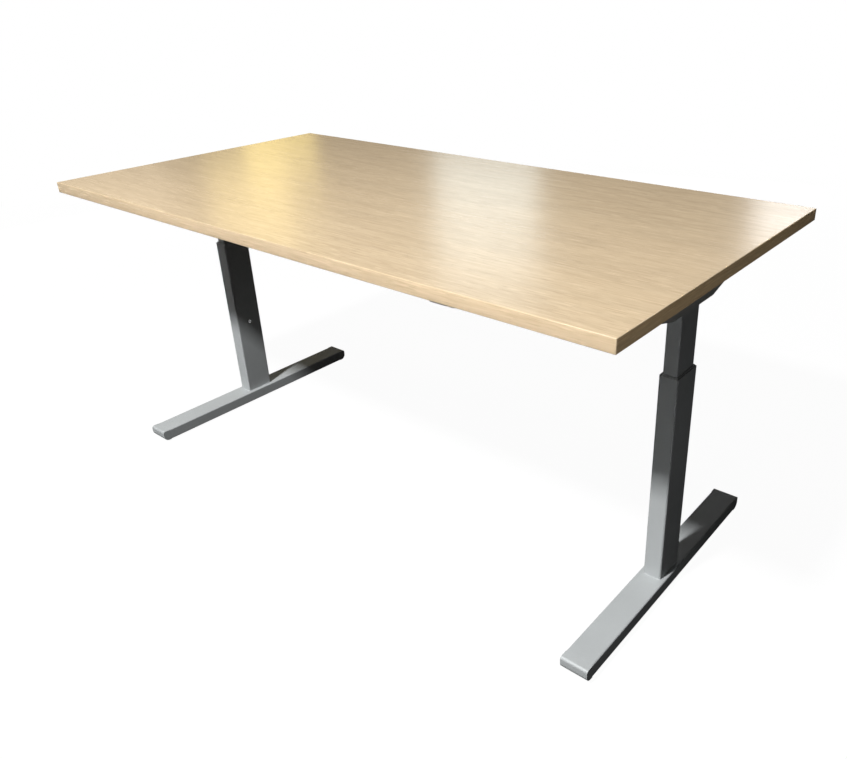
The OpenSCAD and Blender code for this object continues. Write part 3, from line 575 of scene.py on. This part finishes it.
def leads():
    """The motor leads and the hand switch's lead, clipped under the board, with their plugs and boots.

    Each route is a row of places from the lead's far end to its plug in the control box.
    """
    low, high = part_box("right_motor")
    motor_x, motor_y, motor_z = low.x, (low.y + high.y) / 2, (low.z + high.z) / 2
    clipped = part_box("tabletop_board")[0].z - 4 * MM
    under_rail = clipped - 32.5 * MM
    box_low, box_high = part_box("control_box")
    socket_z = box_low.z + 19 * MM
    plug_x = box_high.x + 9 * MM
    in_plug = plug_x - 2 * MM
    right_y, handset_y, left_y = 0.030, 0.0, -0.030
    clip_line = -0.054
    handset_x = (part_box("up_button")[0].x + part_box("down_button")[1].x) / 2
    handset_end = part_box("handset_housing")[1].y - 6 * MM
    motor_lead_r, motor_bend = 2.5 * MM, 10 * MM
    handset_lead_r, handset_bend = 2 * MM, 8 * MM
    lead("right_motor_lead", [
        (motor_x, motor_y, motor_z), (motor_x - 0.040, motor_y, motor_z),
        (motor_x - 0.060, motor_y, clipped), (0.260, motor_y, clipped),
        (0.200, right_y, clipped), (0.165, right_y, clipped),
        (0.140, right_y, socket_z), (in_plug, right_y, socket_z)], motor_lead_r, motor_bend)
    lead("left_motor_lead", [
        (-motor_x, motor_y, motor_z), (0.040 - motor_x, motor_y, motor_z),
        (0.060 - motor_x, motor_y, clipped), (-0.260, motor_y, clipped),
        (-0.200, clip_line, clipped), (0.150, clip_line, clipped), (0.175, left_y, clipped),
        (0.150, left_y, socket_z), (in_plug, left_y, socket_z)], motor_lead_r, motor_bend)
    lead("handset_lead", [
        (handset_x, handset_end, clipped), (handset_x, -0.120, clipped), (handset_x, -0.104, under_rail),
        (handset_x, -0.046, under_rail), (handset_x, -0.030, clipped), (handset_x, -0.006, clipped),
        (handset_x - 0.020, handset_y, clipped), (0.160, handset_y, clipped), (0.140, handset_y, socket_z),
        (in_plug, handset_y, socket_z)], handset_lead_r, handset_bend)
    bm = bmesh.new()
    for y in (left_y, handset_y, right_y):
        boot(bm, Vector((plug_x, y, socket_z)), Vector((1, 0, 0)), 11 * MM, 4.2 * MM, 2.9 * MM)
    for side, way in ((-1, 1), (1, -1)):
        start = Vector((side * motor_x, motor_y, motor_z))
        boot(bm, start, Vector((way, 0, 0)), 20 * MM, 6.5 * MM, 3.3 * MM, ribs=6)
    start = Vector((handset_x, handset_end + 6 * MM, clipped - 0.2 * MM))
    boot(bm, start, Vector((0, 1, 0)), 16 * MM, 3.6 * MM, 2.5 * MM)
    # The plugs come last: faces made after a bevel take freed places, in an order that changes from run to run
    for y in (left_y, handset_y, right_y):
        plug(bm, box_high.x - 6 * MM, plug_x, y, socket_z)
    smooth_by_angle(bm)
    new_piece("lead_plugs_and_boots", bm, "desk_top", "lead_black", ["control_leads"])


def turned(bm, base, axis, profile, sides):
    """A turned part on base: profile gives distance along the axis and radius, in millimetres."""
    points = [base + axis * along * MM for along, _ in profile]
    lathe(bm, points, [radius * MM for _, radius in profile], sides)


def motor_trim():
    """End-cap screws and the crimped seams of the motor cans."""
    low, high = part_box("right_motor")
    centre_y, centre_z = (low.y + high.y) / 2, (low.z + high.z) / 2
    radius = (high.z - low.z) / 2
    can = radius / MM
    seam = ((-1.2, can - 0.2), (-0.8, can + 0.5), (0.8, can + 0.5), (1.2, can - 0.2))
    screw_head = ((-0.5, 1.6), (0.5, 1.6), (0.9, 1.3), (1.0, 0.7), (0.7, 0.6))
    screw_circle = 0.68 * radius
    screws = bmesh.new()
    seams = bmesh.new()
    for sign in (-1, 1):
        axis = Vector((-sign, 0, 0))
        end = Vector((sign * low.x, centre_y, centre_z))
        for k in range(3):
            angle = math.radians(120 * k + 30)
            spot = end + Vector((0, screw_circle * math.cos(angle), screw_circle * math.sin(angle)))
            turned(screws, spot, axis, screw_head, 18)
        for x in (low.x + 16 * MM, high.x - 18 * MM):
            turned(seams, Vector((sign * x, centre_y, centre_z)), axis, seam, 48)
    smooth_by_angle(screws)
    smooth_by_angle(seams)
    new_piece("motor_screws", screws, "desk_top", "zinc_steel")
    new_piece("motor_seams", seams, "desk_top", "motor_can")


def control_box_trim():
    """Cooling ribs on the long sides of the control box, and the screws in its floor."""
    low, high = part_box("control_box")
    ribs = bmesh.new()
    screws = bmesh.new()
    screw_head = ((-0.5, 3.0), (0.4, 3.0), (0.8, 2.5), (0.8, 1.3), (0.2, 1.2))
    count, pitch, half, proud = 17, 8 * MM, 1.1 * MM, 0.9 * MM
    foot, head = low.z + 9 * MM, low.z + 27 * MM
    for face, way in ((low.y, -1), (high.y, 1)):
        near, far = sorted((face, face + way * proud))
        for k in range(count):
            x = (k - (count - 1) / 2) * pitch
            block(ribs, (x - half, near, foot), (x + half, far, head), 0.4 * MM)
    for x in (low.x + 14 * MM, high.x - 14 * MM):
        for y in (low.y + 12 * MM, high.y - 12 * MM):
            turned(screws, Vector((x, y, low.z)), Vector((0, 0, -1)), screw_head, 24)
    smooth_by_angle(ribs)
    smooth_by_angle(screws)
    new_piece("control_box_ribs", ribs, "desk_top", "black_plastic")
    new_piece("control_box_screws", screws, "desk_top", "zinc_steel")


def arrow(button, turn):
    """A raised arrowhead on a button's face; turn is 1 for up and -1 for down."""
    low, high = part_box(button)
    x, z = (low.x + high.x) / 2, (low.z + high.z) / 2
    half, tall = 3.0 * MM, 2.4 * MM
    face, proud = low.y + 0.1 * MM, low.y - 0.25 * MM
    outline = [(x - half, z - turn * tall), (x + half, z - turn * tall), (x, z + turn * tall)]
    bm = bmesh.new()
    back = [bm.verts.new((px, face, pz)) for px, pz in outline]
    front = [bm.verts.new((px, proud, pz)) for px, pz in outline]
    bm.faces.new(front)
    bm.faces.new(list(reversed(back)))
    for k in range(3):
        bm.faces.new((front[k], back[k], back[(k + 1) % 3], front[(k + 1) % 3]))
    bmesh.ops.recalc_face_normals(bm, faces=bm.faces)
    round_edges(bm, 0.12 * MM)
    smooth_by_angle(bm)
    new_piece(button + "_arrow", bm, BODY_OF[button], "clip_white")


# ---- Dressing ----

for name, cad_object in NODES.items():
    for material_slot in cad_object.material_slots:
        material_slot.material = MATERIALS[SLOT_OF[name]]

# How wide the broken edges of each piece are, in millimetres. A width near half a thin wall closes openings.
SIDE_EDGES = {
    "foot": 0.6, "foot_caps": 0.7, "outer_column": 0.25, "lower_collar": 0.25, "upper_collar": 0.3,
    "middle_column": 0.2, "inner_column": 0.15, "side_bracket": 0.6, "gearbox": 1.0, "motor": 0.8,
    "front_glide": 0.6, "rear_glide": 0.6, "base_screws": 0.3,
}
MIDDLE_EDGES = {
    "crossbeam_rails": 0.4, "control_box": 0.8, "control_box_lid": 0.5, "handset_housing": 0.5,
    "mains_inlet": 0.4, "cable_clips": 0.3, "frame_bolts": 0.25,
}

edge_band()
for side in SIDES:
    for part, width in SIDE_EDGES.items():
        softened(side + "_" + part, width * MM)
    weld_bead(side)
for node, width in MIDDLE_EDGES.items():
    softened(node, width * MM)
for button, turn in (("up_button", 1), ("down_button", -1)):
    softened(button, 0.6 * MM)
    arrow(button, turn)
leads()
motor_trim()
control_box_trim()


# ---- Floor, light and camera ----

def pale_floor():
    """A plain floor that shines softly, like a lit studio sweep, and throws little light back at the desk.

    It takes a faint shadow near the desk, and fades into the white behind further out.
    """
    fade_from, fade_to = 1.4, 4.0
    material = bpy.data.materials.new("studio floor")
    material.use_nodes = True
    tree = material.node_tree
    tree.nodes.clear()
    output = tree.nodes.new("ShaderNodeOutputMaterial")
    seen = tree.nodes.new("ShaderNodeLightPath")
    place = tree.nodes.new("ShaderNodeTexCoord")
    away = tree.nodes.new("ShaderNodeVectorMath")
    away.operation = "LENGTH"
    share = tree.nodes.new("ShaderNodeMapRange")
    share.inputs["From Min"].default_value = fade_from
    share.inputs["From Max"].default_value = fade_to
    paper = tree.nodes.new("ShaderNodeBsdfDiffuse")
    paper.inputs["Color"].default_value = (0.045, 0.045, 0.045, 1)
    glow = tree.nodes.new("ShaderNodeEmission")
    glow.inputs["Strength"].default_value = 0.965
    near = tree.nodes.new("ShaderNodeAddShader")
    far = tree.nodes.new("ShaderNodeEmission")
    floor_mix = tree.nodes.new("ShaderNodeMixShader")
    dull = tree.nodes.new("ShaderNodeBsdfDiffuse")
    dull.inputs["Color"].default_value = (0.03, 0.03, 0.03, 1)
    choose = tree.nodes.new("ShaderNodeMixShader")
    tree.links.new(place.outputs["Object"], away.inputs[0])
    tree.links.new(away.outputs["Value"], share.inputs["Value"])
    tree.links.new(paper.outputs[0], near.inputs[0])
    tree.links.new(glow.outputs[0], near.inputs[1])
    tree.links.new(share.outputs["Result"], floor_mix.inputs[0])
    tree.links.new(near.outputs[0], floor_mix.inputs[1])
    tree.links.new(far.outputs[0], floor_mix.inputs[2])
    tree.links.new(seen.outputs["Is Camera Ray"], choose.inputs[0])
    tree.links.new(dull.outputs[0], choose.inputs[1])
    tree.links.new(floor_mix.outputs[0], choose.inputs[2])
    tree.links.new(choose.outputs[0], output.inputs["Surface"])
    bm = bmesh.new()
    bmesh.ops.create_grid(bm, x_segments=2, y_segments=2, size=40)
    mesh = bpy.data.meshes.new("floor")
    bm.to_mesh(mesh)
    bm.free()
    floor = bpy.data.objects.new("floor", mesh)
    floor.location.z = -0.5 * MM
    bpy.context.scene.collection.objects.link(floor)
    mesh.materials.append(material)


def studio_air(seen_strength, light_strength):
    """White behind the desk, and a dim even light from all round."""
    world = bpy.data.worlds.new("studio")
    bpy.context.scene.world = world
    world.use_nodes = True
    tree = world.node_tree
    tree.nodes.clear()
    output = tree.nodes.new("ShaderNodeOutputWorld")
    seen = tree.nodes.new("ShaderNodeLightPath")
    white = tree.nodes.new("ShaderNodeBackground")
    white.inputs["Strength"].default_value = seen_strength
    dim = tree.nodes.new("ShaderNodeBackground")
    dim.inputs["Strength"].default_value = light_strength
    choose = tree.nodes.new("ShaderNodeMixShader")
    for shade in (white, dim):
        shade.inputs["Color"].default_value = (1.0, 1.0, 1.0, 1)
    tree.links.new(seen.outputs["Is Camera Ray"], choose.inputs[0])
    tree.links.new(dim.outputs[0], choose.inputs[1])
    tree.links.new(white.outputs[0], choose.inputs[2])
    tree.links.new(choose.outputs[0], output.inputs["Surface"])


def softbox(name, place, target, size, power, colour=(1, 1, 1), spread=180):
    """A soft light panel that the camera itself doesn't see."""
    data = bpy.data.lights.new(name, "AREA")
    data.shape = "RECTANGLE"
    data.size, data.size_y = size
    data.energy = power
    data.color = colour
    light = bpy.data.objects.new(name, data)
    light.location = place
    light.rotation_euler = (Vector(target) - Vector(place)).to_track_quat("-Z", "Y").to_euler()
    light.visible_camera = False
    data.spread = math.radians(spread)
    bpy.context.scene.collection.objects.link(light)
    return light


CAMERA_PLACE = (1.28223, -1.25591, 1.18924)
WINDOW_DISTANCE = 5.0


def window(name, azimuth, elevation, size, power, colour):
    """A light panel that the camera finds only as a reflection in the tabletop.

    Its azimuth is measured from +Y towards +X, as seen from the camera's mirror image.
    """
    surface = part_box("tabletop_board")[1].z
    turn, rise = math.radians(azimuth), math.radians(elevation)
    x = CAMERA_PLACE[0] + WINDOW_DISTANCE * math.sin(turn)
    y = CAMERA_PLACE[1] + WINDOW_DISTANCE * math.cos(turn)
    z = 2 * surface - CAMERA_PLACE[2] + WINDOW_DISTANCE * math.tan(rise)
    panel = softbox(name, (x, y, z), (0, 0, surface), size, power, colour)
    panel.visible_diffuse = False


def photo_camera():
    """Looks at the desk from the front right and above, a little tilted."""
    azimuth, elevation, roll = (math.radians(a) for a in (38.67, 25.94, -1.15))
    back = Vector((math.sin(azimuth) * math.cos(elevation), -math.cos(azimuth) * math.cos(elevation),
                   math.sin(elevation)))
    right = Vector((math.cos(azimuth), math.sin(azimuth), 0))
    up = back.cross(right)
    turned_right = right * math.cos(roll) + up * math.sin(roll)
    turned_up = up * math.cos(roll) - right * math.sin(roll)
    turn = Matrix((turned_right, turned_up, back)).transposed()
    data = bpy.data.cameras.new("camera")
    data.sensor_width = 36
    data.lens = 33.66
    data.shift_x = -0.0899
    data.shift_y = -0.0236
    data.clip_end = 200
    camera = bpy.data.objects.new("camera", data)
    camera.matrix_world = Matrix.Translation(CAMERA_PLACE) @ turn.to_4x4()
    bpy.context.scene.collection.objects.link(camera)
    bpy.context.scene.camera = camera


pale_floor()
studio_air(1.0, 0.024)
softbox("key", (0.10, -2.6, 3.5), (0, 0, 0.3), (0.28, 0.28), 250)
softbox("sky", (0.0, 0.1, 3.2), (0, 0, 0.7), (1.2, 0.9), 11)
softbox("front_fill", (1.15, -1.25, 0.35), (0.7, 0, 0.35), (0.5, 0.4), 0.28, spread=60)
softbox("low_front_fill", (-1.3, -2.2, 0.3), (-0.72, 0, 0.4), (0.5, 0.4), 0.30, spread=40)
softbox("left_fill", (-3.4, 0.35, 0.3), (0, 0.1, 0.3), (1.6, 0.5), 14)
softbox("back_fill", (-1.1, 3.4, 0.2), (0, 0, 0.3), (1.8, 0.4), 22)
softbox("front_edge_light", (0.0, -2.6, 0.735), (0, -0.4, 0.735), (1.7, 0.06), 0.13, spread=6)
softbox("edge_light", (2.6, 0.0, 0.735), (0.8, 0, 0.735), (0.9, 0.06), 0.045, (1.0, 0.86, 0.66), spread=6)
glint = softbox("screw_glint", (-0.30, 0.25, 0.075), (-0.69, 0, 0.259), (0.1, 0.1), 0.08)
glint.visible_diffuse = False
window("warm_window_low", -53.6, 10.3, (0.42, 0.34), 0.8, (1.0, 0.78, 0.22))
window("warm_window_high", -56.0, 14.6, (0.46, 0.44), 1.1, (1.0, 0.78, 0.26))
window("left_glow", -67.0, 15.0, (1.1, 0.9), 1.6, (1.0, 0.84, 0.62))
window("white_window", -39.4, 16.2, (0.66, 0.80), 3.1, (0.84, 0.97, 1.0))
window("far_window", -17.5, 16.0, (0.50, 0.36), 3.2, (0.96, 0.98, 1.0))
photo_camera()
bpy.context.scene.view_settings.view_transform = "Standard"
